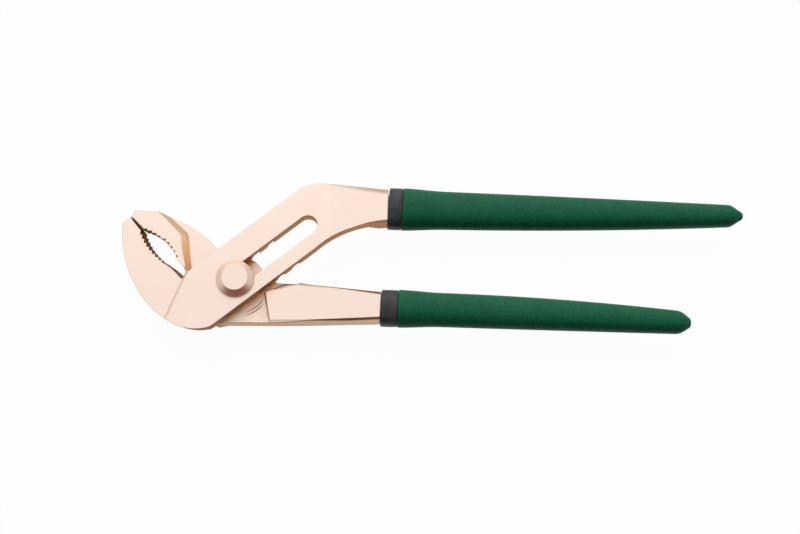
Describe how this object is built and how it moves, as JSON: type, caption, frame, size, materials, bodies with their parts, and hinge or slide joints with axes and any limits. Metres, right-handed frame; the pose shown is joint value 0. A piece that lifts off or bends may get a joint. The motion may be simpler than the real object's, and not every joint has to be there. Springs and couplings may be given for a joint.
{
  "type": "slip joint pliers",
  "caption": "Groove-joint slip joint pliers with toothed jaws, a slotted arm on a sliding pivot bolt and layered soft grips on straight handles.",
  "frame": {"origin": "on the pivot axis, at the end face of the bolt, which is the lowest point of the tool", "axes": "+X toward the handles, along the tool's length; +Y toward the upper handle; +Z along the pivot axis, out of the face that shows the bolt head"},
  "size_m": [0.2513, 0.0611, 0.0201],
  "materials": {
    "lever_metal": "satin copper-alloy forging, flats ground, forged sides darker",
    "fastener_metal": "turned copper alloy, satin",
    "black_sleeve": "smooth black vinyl",
    "green_grip": "matt dark green vinyl, fine mottle"
  },
  "bodies": {
    "slotted_half": {"slotted_jaw_lever": "lever_metal", "upper_inner_sleeve": "black_sleeve", "upper_outer_grip": "green_grip"},
    "pivot": {"pivot_bolt": "fastener_metal", "pivot_washer": "fastener_metal", "pivot_nut": "fastener_metal"},
    "tongued_half": {"tongued_jaw_lever": "lever_metal", "lower_inner_sleeve": "black_sleeve", "lower_outer_grip": "green_grip"}
  },
  "joints": [
    {"name": "pivot_slide", "type": "slide", "parent": "slotted_half", "child": "pivot", "axis": [0.788, 0.6157, 0], "range_m": [0, 0.0365]},
    {"name": "jaw_hinge", "type": "hinge", "parent": "pivot", "child": "tongued_half", "pos_m": [0, 0, 0.0112], "axis": [0, 0, -1], "range_deg": [0, 62]}
  ]
}
